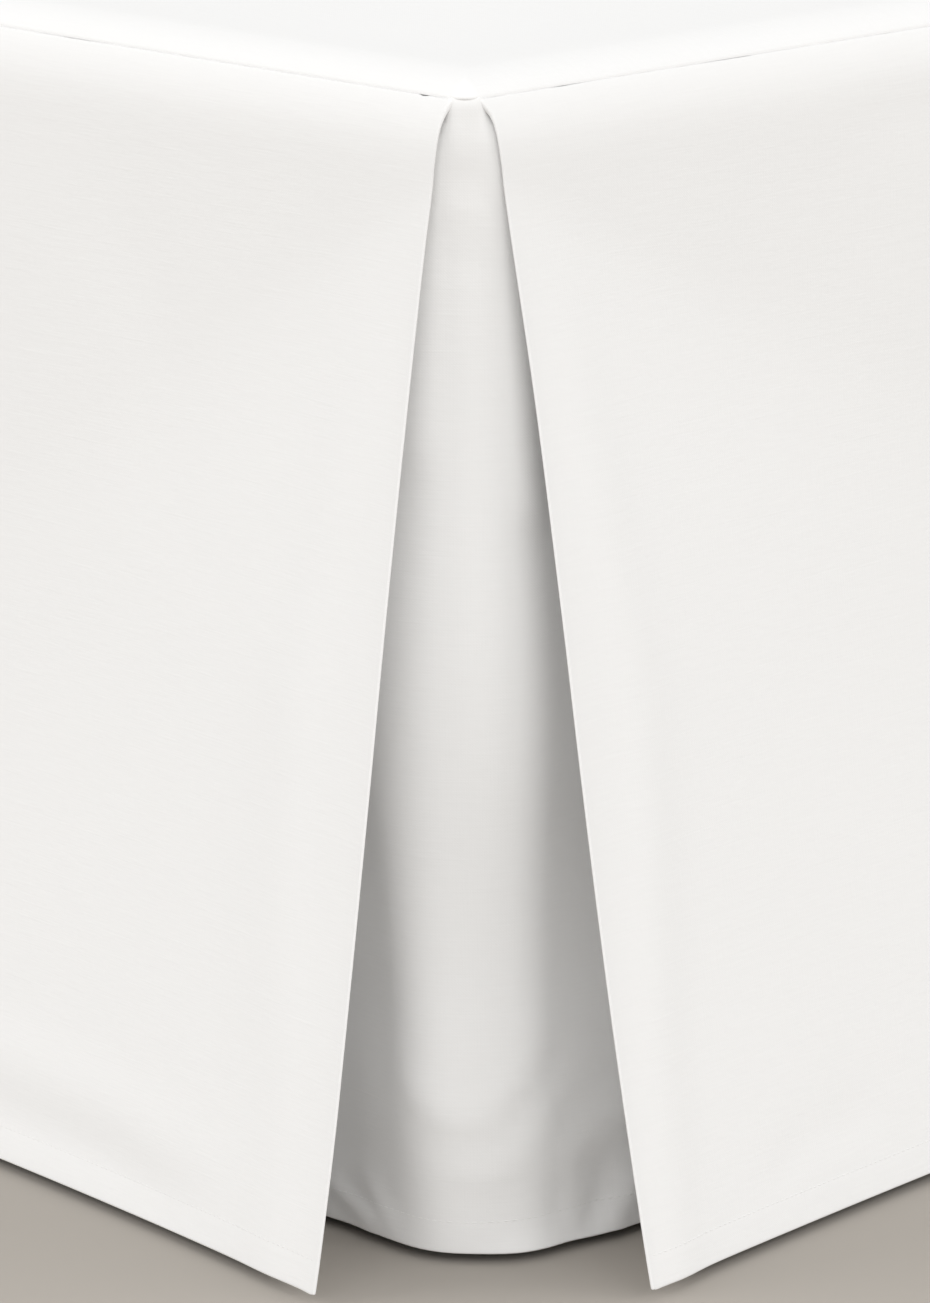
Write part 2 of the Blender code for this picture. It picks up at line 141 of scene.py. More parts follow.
# A side of the bed that a drop hangs from: the corner where it starts, its direction, its outward
# normal, its length, and the pleat sides at its two ends, or None.
Run = namedtuple("Run", "corner along outward length near far")
RIGHTWARD, HEADWARD, UP = np.eye(3)
LEFTWARD, FOOTWARD = -RIGHTWARD, -HEADWARD
RIGHT_CORNER, LEFT_CORNER = np.array([(HALF_WIDTH, FOOT_Y, 0), (-HALF_WIDTH, FOOT_Y, 0)])
SIDE_LENGTH = BOX_LENGTH - BOX_CORNER
FOOT_RUN = Run(RIGHT_CORNER, LEFTWARD, FOOTWARD, BOX_WIDTH, FOOT_AT_RIGHT, FOOT_AT_LEFT)
RIGHT_RUN = Run(RIGHT_CORNER, HEADWARD, RIGHTWARD, SIDE_LENGTH, SIDE_AT_RIGHT, None)
LEFT_RUN = Run(LEFT_CORNER, HEADWARD, LEFTWARD, SIDE_LENGTH, SIDE_AT_LEFT, None)

# ---- the fine form of the cloth ----

CLOTH = 0.00042  # the cloth as seen is thinner than its solid
FOLD_PRESSED, FOLD_HEM = 0.00023, 0.00031  # radius of the pressed outer fold, and at its hem
FOLD_WIDENS, FOLD_WIDENING = 0.034, 0.024  # it widens from this far above the hem, over this length
FOLD_SPREAD, FOLD_SPREAD_END = 0.0016, 0.010  # room for the hem's layers beside the fold
FOLD_THIN = 0.001  # the hem is one layer thick this near to the fold
HEM_WIDTH = 0.0127
HEM_STEP = 0.0008  # width of the step at the top of a hem
HEM_EDGE = 0.00075  # rounding of a hem's lower edge
TIP_LIFT, TIP_WIDTH, TIP_REACH = 0.0005, 0.0012, 0.015  # rounding of a hem's tip at the fold
LIP, LIP_FADE, LIP_TOP = 0.0004, 0.003, 0.050  # the edge of a fold curls out, fully below LIP_TOP
UNDER_DECK = 2 * LAYER - CLOTH  # the most that an insert may rise where the deck lies over it
SEAM_SLIT = 0.00008  # half the gap between two sewn edges
SEAM_ROLL = 0.0008  # rounding of a cloth's edge into the seam
SEAM_RIDGE, SEAM_RIDGE_WIDTH = 0.0006, 0.007  # over the seam allowances
STITCH_LINE = 0.0110  # from the hem's edge to its stitching
STITCH_PULL, STITCH_PULL_WIDTH = 0.00005, 0.0009  # how far the stitching draws the cloth in
HEM_SWELL, SWELL_TOP, SWELL_EDGE = 0.00004, 0.002, 0.003  # a hem swells a little between its two edges
STITCH_PITCH, STITCH_LENGTH = 0.0027, 0.0021
THREAD_PITCH = 0.00045  # of the weave
STITCH_WIDTH, STITCH_HEIGHT = 0.00036, 0.00015
STITCH_START = 0.003  # from a fold or an edge to the first stitch
# Rings of a stitch: (place in its length, share of its width, rise in halves of its height).
STITCH_RINGS = ((-0.5, 0.35, -0.9), (-0.34, 0.85, 0.05), (0, 1, 0.35), (0.34, 0.85, 0.05), (0.5, 0.35, -0.9))
STITCH_SIDES = 5

# ---- rows and columns, metres ----

NEAR_END, FINE_END = 0.050, 0.350  # the columns get wider in steps away from a pleat
FINE_STEP, PLAIN_STEP = 0.0036, 0.012
NEAR_STEPS, NEAR_POWER = 16, 1.5  # columns from a fold to NEAR_END, closest at the fold
PLEAT_STEPS, PLEAT_POWER = 22, 1.6  # columns from a pleat's inner fold, closest at its outer fold
FOLD_STEPS = 8  # columns round the outer fold
FOLD_COLUMN = PLEAT_STEPS + FOLD_STEPS // 2 - 1  # a quarter turn round it
INSERT_STEPS, TURN_STEPS = 33, 14  # columns of each half of an insert, and round the corner between
CORNER_COLUMN = INSERT_STEPS + TURN_STEPS // 2
ROW_STEP = 0.006
TUCKED_ROWS = (-0.0035, -0.0022, -0.0012, -0.0004)  # above the seam, under the deck
# Rows below the seam, and rows above the hem's edge.
SEAM_ROWS = (0, 0.00006, 0.0002, 0.00045, 0.0008, 0.0013, 0.002, 0.0032, 0.005, 0.0075, 0.0105, 0.014)
HEM_ROWS = (
    0.030, 0.025, 0.021, 0.018, 0.0157, 0.0141, 0.0131, 0.0123,
    0.0115, STITCH_LINE, 0.0105, 0.0095, 0.0078, 0.0058, 0.0038, 0.0020,
)
EDGE_SHARES = (1.0, 0.72, 0.45, 0.22, 0.07, 0.0)  # of HEM_EDGE, the last rows before a hem's edge
END_COLUMNS = (
    HEM_WIDTH + HEM_STEP, HEM_WIDTH, 0.009, 0.005, 0.002, *(HEM_EDGE * share for share in EDGE_SHARES)
)  # before a drop's hemmed end
THINNEST = 0.12  # share of the thickness that is left at a rounded edge

# ---- creases, in millimetres on flat places: u from the fold at the run's start, v below the seam ----

# A soft ridge or trough: fade is the share of its path over which each of its ends dies away.
Crease = namedtuple("Crease", "path width height fade", defaults=(0.3,))
FOOT_CREASES = (
    Crease(((330, 322), (250, 337), (193.5, 344), (130, 346.5), (80, 351), (40, 352)), 10, 0.8),
    Crease(((330, 340), (250, 357), (193.5, 364), (130, 365.5), (80, 369.5), (35, 370)), 9.5, -0.85),
    Crease(((46, 150), (52, 235), (46, 335)), 21, 0.75),
    Crease(((150, 30), (125, 100), (130, 170)), 18, -0.4),
    Crease(((700, 60), (735, 190), (720, 330)), 26, 0.9),
    Crease(((1010, 362), (1090, 345), (1180, 348)), 9, -0.6),
    Crease(((1440, 130), (1425, 240), (1436, 345)), 19, 0.8),
)
RIGHT_CREASES = (
    Crease(((150, 30), (190, 22), (250, 30), (300, 46)), 12, -0.6),
    Crease(((62, 362), (100, 352), (150, 350)), 7.5, -0.4),
    Crease(((205, 270), (240, 310), (262, 352)), 14, -0.5),
    Crease(((620, 70), (660, 200), (640, 340)), 27, 1),
    Crease(((1120, 352), (1210, 338), (1300, 346)), 10, -0.7),
    Crease(((1520, 90), (1495, 220), (1510, 345)), 24, 0.95),
)
LEFT_CREASES = (
    Crease(((55, 140), (62, 230), (52, 330)), 20, 0.7),
    Crease(((110, 356), (180, 344), (270, 340), (340, 348)), 8, -0.65),
    Crease(((560, 80), (540, 210), (566, 338)), 25, 0.95),
    Crease(((980, 348), (1060, 335), (1150, 342)), 9.5, -0.6),
    Crease(((1640, 100), (1665, 230), (1650, 345)), 26, 0.9),
)
# u is from the corner here, rightward; the left insert has them mirrored.
INSERT_CREASES = (
    # drawn out under the deck's edge, and full beside the folds
    Crease(((-8.5, -0.5), (8.5, -0.5)), 11, 2.1),
    Crease(((-8.5, 0), (8.5, 0)), 4.2, 2.05),
    Crease(((-12, -6), (-12.5, 30), (-14, 60), (-16, 120)), 6, 1.5, 0.06),
    Crease(((12, -6), (12.5, 30), (16, 80), (19.5, 140)), 6, 1.6, 0.06),
    # down the whole cloth: a ridge on each side of the corner, and a trough beyond each
    Crease(((-20, -10), (-22, 50), (-28, 140), (-24, 230), (-13, 350), (-11, 430)), 12, 2.4),
    Crease(((15, 20), (16.5, 120), (18, 170), (16, 270)), 11, 1.3),
    Crease(((44, 90), (46, 200), (48, 300), (46, 400)), 24, -1.8, 0.2),
    Crease(((46, 200), (48, 300), (46, 405)), 24, -2.2, 0.25),
    Crease(((-36, 220), (-34, 300), (-31, 400)), 11, -0.6, 0.2),
    Crease(((-52, 270), (-50, 325), (-48, 380)), 24, -2.1),
    # the middle swells out, and the lower part rolls in a little
    Crease(((-90, 195), (90, 195)), 85, 5.8),
    Crease(((-90, 330), (90, 330)), 36, 3.4),
    # small wrinkles below the seam
    Crease(((-8, 25.5), (1, 26.2), (10, 24.8)), 2.4, -0.5),
    Crease(((-10, 31.8), (0, 31), (9, 32.2)), 2.6, 0.5),
    Crease(((5, 31), (9, 34), (11, 38.5)), 1.8, -0.45),
    Crease(((-10, 49.8), (0, 50.4), (10, 49.4)), 2.2, -0.42),
    # towards the hem
    Crease(((-26, 312), (-16, 327), (-5, 334), (6, 332), (16, 314)), 4.2, 1.1),
    Crease(((-12, 348), (0, 353), (10, 350), (18, 342)), 4, 0.8),
    Crease(((24, 356), (38, 347), (56, 340), (76, 334)), 6, 1.5),
    Crease(((36, 348), (35.5, 364), (34.5, 380)), 4.5, 0.9),
    Crease(((52, 353), (48.5, 364), (43.7, 377.1), (42.5, 381)), 3.6, -1.1, 0.2),
    Crease(((66.5, 360), (60, 368.5), (52, 378), (50.5, 381)), 4.6, 1.3, 0.2),
    Crease(((-68, 364), (-56, 370.5), (-46, 374.5), (-40, 380)), 3.6, 1, 0.2),
    Crease(((-48, 356), (-42, 363.5), (-34.9, 371.5), (-31, 380)), 3.2, 0.8, 0.2),
    Crease(((35, 309), (22.5, 324), (12, 333), (0, 339)), 4.6, -1.2),
    Crease(((-17, 343.4), (-4.7, 341.8), (7, 341.2)), 2, -0.6),
    Crease(((-4, 384), (36, 384.5), (62, 384)), 9, 2.7),
)
# Soft wrinkles of the deck, along points (x, y) of the frame.
DECK_CREASES = (
    Crease(((690, -905), (560, -800), (470, -735)), 17, 1.4),
    Crease(((730, -820), (640, -700), (600, -590)), 15, 1.1),
    Crease(((-690, -900), (-590, -770), (-520, -700)), 17, 1.3),
    Crease(((-600, -940), (-450, -880), (-330, -870)), 15, 1),
    Crease(((200, -700), (60, -640), (-120, -660)), 19, 1.2),
    Crease(((560, -250), (450, -120), (420, 60)), 20, 1.5),
    Crease(((-520, -150), (-400, -40), (-250, 0)), 18, 1.2),
    Crease(((100, 60), (-30, 180), (-60, 320)), 19, 1.3),
    Crease(((660, 440), (520, 500), (350, 480)), 18, 1.2),
    Crease(((-670, 380), (-560, 530), (-530, 660)), 18, 1.4),
    Crease(((-150, 700), (50, 740), (230, 710)), 20, 1.2),
    Crease(((650, 960), (540, 850), (400, 800)), 17, 1.3),
    Crease(((-660, 960), (-560, 900), (-420, 880)), 17, 1.2),
)
DECK_STEP = 0.0105
DECK_RINGS = (75, 79, 84, 90)  # degrees up the edge, the rings above those of SEAM_ROWS
GRID_INSET, EVEN_INSET = 0.034, 0.042  # from the bed's sides to the flat top's grid and its even steps
DECK_CORNER_STEPS = 8
WELD, SLIVER = 0.0001, 0.000001
# Broad unevenness of the deck: (wave length along x, wave length along y, height, phase).
DECK_WAVES = ((0.83, 1.31, 0.0007, 0.4), (0.47, 0.61, 0.0005, 1.9), (1.70, 0.39, 0.0004, 3.1))
DECK_WAVE_START, DECK_WAVE_RISE = 0.03, 0.10  # in from the deck's edge, and from there to full height

# Small puckers beside seams and hems: (wave length, share of the height, phase).
PUCKERS = ((0.0097, 0.42, 0.3), (0.0143, 0.34, 1.7), (0.0236, 0.24, 4.0))
SEAM_PUCKER, SEAM_PUCKER_FADE = 0.00009, 0.009
HEM_PUCKER, HEM_PUCKER_WIDTH, HEM_PUCKER_SHIFT = 0.00007, 0.005, 0.003
# Fine ripples of the hanging cloth away from the pleats: (wave length, height at the hem, phase).
RIPPLES = ((0.171, 0.0011, 0.6), (0.107, 0.0006, 2.9), (0.263, 0.0019, 4.4))
RIPPLE_START, RIPPLE_CLEAR = 0.20, 0.60
# Where the seam stands a little open: (distance from the corner, half length, extra gap).
FOOT_GAPES = ((0.0205, 0.0014, 0.00055), (0.185, 0.01, 0.00012), (0.61, 0.012, 0.0003), (1.27, 0.009, 0.0003))
RIGHT_GAPES = (
    (0.048, 0.0062, 0.00018), (0.125, 0.014, 0.00012), (0.74, 0.011, 0.0003), (1.46, 0.013, 0.0003),
)
LEFT_GAPES = ((0.031, 0.008, 0.0003), (0.66, 0.013, 0.0003), (1.21, 0.01, 0.0003))
GAPE_FADE = 0.0016  # an open seam closes again this far below it

# ---- the box spring's cover and piping ----

COVER_CLEAR = 0.0004  # the cover lies this far inside the solid
COVER_INSET, COVER_SWELL = 0.0022, 0.0010
COVER_STEP, PIPING_STEP, BOX_CORNER_STEPS = 0.045, 0.30, 9
PIPING_HEIGHTS = (BOX_BOTTOM + 0.015, BOX_TOP - 0.040)
PIPING_RADIUS, PIPING_CLEAR = 0.0021, 0.0002
SHARP = math.radians(50)
GROOVE, GROOVE_HALF = 0.0042, 0.0010  # depth of the groove under a line of piping, and half its width
GROOVE_RIM, GROOVE_ROOM = 0.0006, 0.0045
GROOVE_CLEAR = 0.0040
SHOULDER_INSET, SHOULDER = 0.0012, 0.007  # the cover's last level above the upper piping
LOW_ANGLES, HIGH_ANGLES = (0, 22, 45, 68), (10, 24, 38, 52, 66, 80, 90)  # degrees round its two edges
SWELL_PARTS = (0.15, 0.35, 0.5, 0.65, 0.85)

# ---- camera, taken from the lines of the seam and the hems ----

PHOTO_HEIGHT = 1303
FOCAL_PIXELS = 7693.2
SENSOR = 36.0  # mm, along the taller side of the picture
CAMERA_HEIGHT = 0.7756
CAMERA_DISTANCE = 2.400  # over the floor, from the corner of the seam
CAMERA_PITCH = math.radians(13.366)
SEAM_INSET = 0.0029  # of the seam's corner, from the box spring's sides

# ---- light ----

WORLD_LIGHT = 0.655
FLOOR_SIZE = 600.0
FLOOR_LEVEL = -0.0004  # clear of the glides
FLOOR_COLOUR = (0.395, 0.365, 0.330)
# Soft suns: (azimuth, elevation, strength, width), azimuth 0 being the foot side and 90 the right.
SUNS = ((-30, 27, 0.98, 40), (22, 27, 0.65, 40), (68, 27, 0.76, 40), (116, 27, 0.86, 40))


# ---- curves ----


def ease(x):
    """0 below 0, 1 above 1, and smooth between."""
    x = np.clip(x, 0, 1)
    return x * x * (3 - 2 * x)


def between(rows, x):
    """The value at each x on a smooth curve through rows of (x, value)."""
    places, values = np.array(rows, float).T
    padded = np.pad(np.array([places, values]), ((0, 0), (1, 1)), mode="edge")
    run, rise = padded[:, 2:] - padded[:, :-2]
    slopes = rise / run
    x = np.clip(x, places[0], places[-1])
    i = np.clip(np.searchsorted(places, x, side="right") - 1, 0, len(places) - 2)
    step = places[i + 1] - places[i]
    t = (x - places[i]) / step
    return (
        values[i] * (1 + 2 * t) * (1 - t) ** 2
        + values[i + 1] * t * t * (3 - 2 * t)
        + step * slopes[i] * t * (1 - t) ** 2
        - step * slopes[i + 1] * t * t * (1 - t)
    )


def bell(x, width):
    return np.exp(-((x / width) ** 2))


def crease_height(flat, crease):
    """Height of a crease at each flat place, in metres."""
    path = MM * np.array(crease.path)
    nearest = np.full(flat.shape[:-1], np.inf)
    along = np.zeros_like(nearest)
    passed = 0.0
    for start, end in zip(path, path[1:]):
        step = end - start
        length = np.linalg.norm(step)
        share = np.clip((flat - start) @ step / length**2, 0, 1)
        gap = np.linalg.norm(flat - start - share[..., None] * step, axis=-1)
        closer = gap < nearest
        nearest[closer] = gap[closer]
        along[closer] = passed + share[closer] * length
        passed += length
    part = along / passed
    fade = ease(part / crease.fade) * ease((1 - part) / crease.fade)
    return MM * crease.height * bell(nearest, MM * crease.width) * fade


def creased(flat, creases):
    return sum(crease_height(flat, crease) for crease in creases)


def puckers(u):
    return sum(share * np.sin(2 * np.pi * u / long + phase) for long, share, phase in PUCKERS)


# ---- folds of the skirt, as in the solids ----


def above_zero(x):
    """x where it is positive and 0 where it is negative, with a soft change between the two."""
    return TURN_SOFTNESS * np.logaddexp(0, x / TURN_SOFTNESS)


def turn_angle(below):
    """Angle on the rounded top edge at a distance below the seam."""
    return above_zero(SEAM_DROP - below) / EDGE_RADIUS


def depth_of(below):
    """Depth below the rounded top edge."""
    return above_zero(below - SEAM_DROP)


def lift(distance):
    """Offset of a drop over the two other layers of its pleat."""
    return 2 * LAYER * (1 - ease((distance - LIFT_HOLD) / (LIFT_END - LIFT_HOLD)))


def hang(depth):
    return HANG_CLEAR * ease(depth / (TURN_HEIGHT - BOX_BOTTOM))


def flare(side, distance, depth):
    """The swing of a drop beside a pleat, a cone about the corner of the seam."""
    left = np.clip(1 - distance / np.maximum(side.reach * depth, 1e-9), 0, None)
    ridge_at = between(RIDGE_PLACE, SEAM_DROP + depth)
    ridge = side.ridge * bell(distance - ridge_at, RIDGE_WIDTH)
    from_fold = np.clip(distance - between(side.edge, SEAM_DROP + depth), 0, None)
    lip = LIP * np.exp(-from_fold / LIP_FADE)
    return depth * side.flare * left**2 + ridge * ease(depth / RIDGE_TOP) + lip * ease(depth / LIP_TOP)


def away_from_pleats(run, distance, start, end):
    """0 as far as start from a pleat's corner, 1 from end on, and smooth between."""
    clear = np.minimum(distance, run.length - distance) if run.far else distance
    return ease((clear - start) / (end - start))


def waves(run, distance, depth):
    height = sum(high * (1 + np.sin(2 * np.pi * distance / long + phase)) for long, high, phase in WAVES)
    return height * away_from_pleats(run, distance, 0, WAVE_CLEAR) * (depth / DROP) ** WAVE_GROWTH


def ripples(run, distance, depth):
    height = sum(high * np.sin(2 * np.pi * distance / long + phase) for long, high, phase in RIPPLES)
    return height * away_from_pleats(run, distance, RIPPLE_START, RIPPLE_CLEAR) * (depth / DROP) ** 2


def drop_offset(run, distance, depth):
    """Offset of a drop's panel from the side of the box spring."""
    total = ON_BOX + lift(distance) + hang(depth) + waves(run, distance, depth)
    total = total + ripples(run, distance, depth) + flare(run.near, distance, depth)
    if run.far:
        total = total + lift(run.length - distance) + flare(run.far, run.length - distance, depth)
    return total


def on_run(run, distance, offset, below):
    """Points of a cloth at a distance along a side, an offset from it and a distance below the seam."""
    angle = turn_angle(below)
    out = offset + (EDGE_RADIUS + offset) * (np.cos(angle) - 1)
    height = TURN_HEIGHT - depth_of(below) + (EDGE_RADIUS + offset) * np.sin(angle)
    sideways = distance[..., None] * run.along + out[..., None] * run.outward
    return run.corner + sideways + height[..., None] * UP


def fold_radius(below):
    """Radius of a pleat's outer fold: pressed sharp, and wider round the layers of its hem."""
    in_hem = ease((below - (HEM_BELOW - FOLD_WIDENS)) / FOLD_WIDENING)
    return FOLD_PRESSED + (FOLD_HEM - FOLD_PRESSED) * in_hem


def pleat_columns(run, side, below, place):
    """(distances, offsets) from the inner fold of a pleat round its outer fold to the panel.

    below is a column of distances below the seam; place turns a distance from the pleat's own corner
    into one along the run."""
    depth = depth_of(below)
    radius = fold_radius(below)
    turn_at = between(side.edge, below) + radius - LIP * ease(depth / LIP_TOP)
    turn_offset = drop_offset(run, place(turn_at), depth)
    inner = ON_BOX + LAYER + hang(depth)
    parts = np.linspace(1, 0, PLEAT_STEPS) ** PLEAT_POWER
    distance = turn_at + (PLEAT_DEPTH - turn_at) * parts
    in_hem = (radius - FOLD_PRESSED) / (FOLD_HEM - FOLD_PRESSED)
    spread = FOLD_SPREAD * in_hem * ease((distance - turn_at) / FOLD_SPREAD_END)
    beside = drop_offset(run, place(distance), depth) - 2 * radius - spread
    offset = beside + (inner - beside) * ease(parts)
    angles = np.radians(np.linspace(180 / FOLD_STEPS, 180, FOLD_STEPS))
    round_distance = turn_at - radius * np.sin(angles)
    round_offset = turn_offset - radius - radius * np.cos(angles)
    return (
        place(np.concatenate([distance, round_distance], axis=1)),
        np.concatenate([offset, round_offset], axis=1),
    )


def panel_columns(run, start, end):
    """Distances of a panel's columns after its start, closest beside a pleat."""
    rows = len(start)
    beside = np.linspace(0, 1, NEAR_STEPS + 1)[1:] ** NEAR_POWER
    near = start + (NEAR_END - start) * beside
    fine = np.arange(NEAR_END + FINE_STEP, FINE_END, FINE_STEP)
    if run.far:
        beyond = run.length - fine[::-1]
        last_fine = beyond[0]
        far_near = run.length - NEAR_END
        closing = far_near + (end - far_near) * (1 - beside[:0:-1])
    else:
        beyond = np.empty(0)
        closing = np.tile(run.length - np.array(END_COLUMNS), (rows, 1))
        last_fine = closing[0, 0] - PLAIN_STEP / 2
    count = round((last_fine - fine[-1]) / PLAIN_STEP)
    plain = np.linspace(fine[-1], last_fine, count + 1)[1:]
    plain = plain[:-1] if run.far else plain
    middle = np.tile(np.concatenate([fine, plain, beyond]), (rows, 1))
    return np.concatenate([near, middle, closing], axis=1)


def drop_grid(run, below, gapes):
    """Points of a drop's middle surface, (rows, columns, xyz)."""
    below = below[:, None]
    distance, offset = pleat_columns(run, run.near, below, lambda d: d)
    start, end = distance[:, -1:], run.length
    if run.far:
        far_distance, far_offset = pleat_columns(run, run.far, below, lambda d: run.length - d)
        end = far_distance[:, -1:]
    panel = panel_columns(run, start, end)
    distances, offsets = [distance, panel], [offset, drop_offset(run, panel, depth_of(below))]
    if run.far:
        distances.append(far_distance[:, ::-1])
        offsets.append(far_offset[:, ::-1])
    distance, offset = np.concatenate(distances, axis=1), np.concatenate(offsets, axis=1)
    open_by = sum(extra * bell(distance - place, half) for place, half, extra in gapes)
    below = below + SEAM_SLIT + open_by * np.exp(-below / GAPE_FADE)
    near_tip = bell(distance - start, TIP_WIDTH) * ease((below - HEM_BELOW) / TIP_REACH + 1)
    return on_run(run, distance, offset, below - TIP_LIFT * near_tip)


def insert_grid(corner, foot, bulges, below):
    """Points of an insert's middle surface, from its end at the foot of the bed round the corner."""
    below = below[:, None]
    angle, depth = turn_angle(below), depth_of(below)
    grown = (depth / DROP) ** 2
    base = ON_BOX + hang(depth)
    inset = (EDGE_RADIUS + base) * (1 - np.cos(angle))
    height = TURN_HEIGHT - depth + (EDGE_RADIUS + base) * np.sin(angle)
    radius = np.maximum(between(NOSES, below) - inset, SHARPEST)
    parts = np.linspace(1, 0, INSERT_STEPS + 1)[:-1]
    noses = [base - inset + bulge.nose * grown for bulge in bulges]
    centre = (radius - noses[1], radius - noses[0])
    sides = []
    for start, bulge in zip(centre, bulges):
        to_belly = bulge.nose + (bulge.belly - bulge.nose) * ease(parts / BELLY_PLACE)
        to_end = bulge.belly * (1 - ease((parts - BELLY_PLACE) / (BELLY_END - BELLY_PLACE)))
        high = np.where(parts < BELLY_PLACE, to_belly, to_end)
        sides.append((start + (INSERT_REACH - start) * parts, base - inset + high * grown))
    turn = np.pi / 2 * np.linspace(0, 1, TURN_STEPS + 1)
    along_foot = [sides[0][0], centre[0] - radius * np.sin(turn), -sides[1][1][:, ::-1]]
    along_side = [-sides[0][1], centre[1] - radius * np.cos(turn), sides[1][0][:, ::-1]]
    a, b = np.concatenate(along_foot, axis=1), np.concatenate(along_side, axis=1)
    height = np.broadcast_to(height, a.shape)
    return corner + a[..., None] * foot + b[..., None] * HEADWARD + height[..., None] * UP


# ---- cloth meshes ----


def cloth_rows(top):
    """Distances below the seam of a hanging cloth's rows, from its top edge to its hem."""
    hem = HEM_BELOW - np.array(HEM_ROWS)
    edge = HEM_BELOW - HEM_EDGE * np.array(EDGE_SHARES)
    start = SEAM_ROWS[-1]
    count = round((hem[0] - start) / ROW_STEP)
    middle = np.linspace(start, hem[0], count + 1)[1:-1]
    above = [row for row in TUCKED_ROWS if row >= top]
    return np.concatenate([above, SEAM_ROWS, middle, hem, edge])


def surface_normals(grid, outward):
    """Unit normals of a grid, on the side of the cloth's face."""
    normals = np.cross(np.gradient(grid, axis=1), np.gradient(grid, axis=0)) * outward
    return normals / np.linalg.norm(normals, axis=-1, keepdims=True)


def flat_places(grid, below, fold):
    """(u, v) of each point: along its row from the fold's column, and below the seam."""
    steps = np.linalg.norm(np.diff(grid, axis=1), axis=-1)
    u = np.concatenate([np.zeros((len(grid), 1)), np.cumsum(steps, axis=1)], axis=1)
    u -= u[:, fold : fold + 1]
    return np.stack([u, np.broadcast_to(below[:, None], u.shape)], axis=-1)


def hem_layers(to_edge, to_end, to_fold):
    """(centre, half thickness) of a cloth at a distance from its hemmed edge, its hemmed end and its
    nearest fold: a hem has three layers, two of them behind the cloth, and a rounded edge, and it is
    pressed thin at a fold."""

    def layered(distance):
        return ease((HEM_WIDTH + HEM_STEP / 2 - distance) / HEM_STEP)

    inside = np.maximum(layered(to_edge) * ease((to_fold - FOLD_THIN) / FOLD_SPREAD_END), layered(to_end))
    rounding = np.clip(1 - np.minimum(to_edge, to_end) / HEM_EDGE, 0, 1)
    half = CLOTH / 2 * (1 + 2 * inside)
    return -CLOTH * inside, half * np.maximum(np.sqrt(1 - rounding**2), THINNEST)


def seam_profile(v):
    """The roll of a cloth's edge into its seam, and the ridge over the allowances."""
    into = np.clip(1 - v / SEAM_ROLL, 0, 1)
    return SEAM_RIDGE * bell(v, SEAM_RIDGE_WIDTH) - SEAM_ROLL * (1 - np.sqrt(1 - into**2))


def seam_relief(flat):
    u, v = flat[..., 0], np.clip(flat[..., 1], 0, None)
    return seam_profile(v) + SEAM_PUCKER * puckers(u) * np.exp(-v / SEAM_PUCKER_FADE)


def hem_relief(u, to_edge):
    """The pull of the stitching and the small puckers along it, and the hem's own slight swell."""
    from_line = to_edge - STITCH_LINE
    pull = -STITCH_PULL * bell(from_line, STITCH_PULL_WIDTH)
    pucker = HEM_PUCKER * puckers(u + HEM_PUCKER_SHIFT) * bell(from_line, HEM_PUCKER_WIDTH)
    swell = HEM_SWELL * ease((HEM_WIDTH - to_edge) / SWELL_TOP) * ease(to_edge / SWELL_EDGE)
    return pull + pucker + swell


def raised(grid, relief, outward):
    """A grid with its relief, and its new normals."""
    middle = grid + surface_normals(grid, outward) * relief[..., None]
    return middle, surface_normals(middle, outward)


def shell_faces(rows, columns):
    """Quads of a closed shell: the face's grid, the back's grid behind it, and the edges round them."""
    index = np.arange(rows * columns).reshape(rows, columns)
    back = index + rows * columns

    def quads(grid):
        return np.stack([grid[:-1, :-1], grid[:-1, 1:], grid[1:, 1:], grid[1:, :-1]], axis=-1).reshape(-1, 4)

    def edge(line):
        behind = line + rows * columns
        return np.stack([line[:-1], behind[:-1], behind[1:], line[1:]], axis=-1)

    border = [edge(index[0]), edge(index[::-1, 0]), edge(index[-1, ::-1]), edge(index[:, -1])]
    return np.concatenate([quads(index), quads(back)[:, ::-1], *border])


def add_object(name, data):
    made = bpy.data.objects.new(name, data)
    bpy.context.scene.collection.objects.link(made)
    return made


def add_mesh(name, points, faces, finish):
    mesh = bpy.data.meshes.new(name)
    mesh.from_pydata(points.reshape(-1, 3).tolist(), [], faces)
    mesh.shade_smooth()
    mesh.materials.append(finish)
    return add_object(name, mesh)


def map_flat_places(cloth, places):
    """Gives a cloth's mesh its UV map of flat places, in metres."""
    mesh = cloth.data
    corners = np.empty(len(mesh.loops), np.int32)
    mesh.loops.foreach_get("vertex_index", corners)
    mesh.uv_layers.new(name="cloth").uv.foreach_set("vector", places[corners].astype(np.float32).ravel())


def add_cloth(name, middle, flat, normals, centre, half, finish):
    """A closed cloth from its middle surface."""
    face = middle + normals * (centre + half)[..., None]
    back = middle + normals * (centre - half)[..., None]
    points = np.concatenate([face.reshape(-1, 3), back.reshape(-1, 3)])
    cloth = add_mesh(name, points, shell_faces(*flat.shape[:2]).tolist(), finish)
    work = bmesh.new()
    work.from_mesh(cloth.data)
    bmesh.ops.recalc_face_normals(work, faces=work.faces)
    work.to_mesh(cloth.data)
    work.free()
    map_flat_places(cloth, np.concatenate([flat.reshape(-1, 2)] * 2))
    return cloth, face


def dress(cloth):
    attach(cloth, "root")
    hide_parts(cloth.name.replace("skirt_", ""))


# ---- stitches ----


def stitch_frames(line, normals, start, stop):
    """(middle, along, normal) of each stitch on a line of points, from start after its first point to
    stop before its last."""
    steps = np.linalg.norm(np.diff(line, axis=0), axis=1)
    passed = np.concatenate([[0], np.cumsum(steps)])
    count = int((passed[-1] - stop - start) / STITCH_PITCH)
    places = start + STITCH_PITCH * (np.arange(count) + 0.5)

    def at(values, where):
        return np.stack([np.interp(where, passed, values[:, axis]) for axis in range(3)], axis=-1)

    along = at(line, places + STITCH_LENGTH / 2) - at(line, places - STITCH_LENGTH / 2)
    return at(line, places), along, at(normals, places)


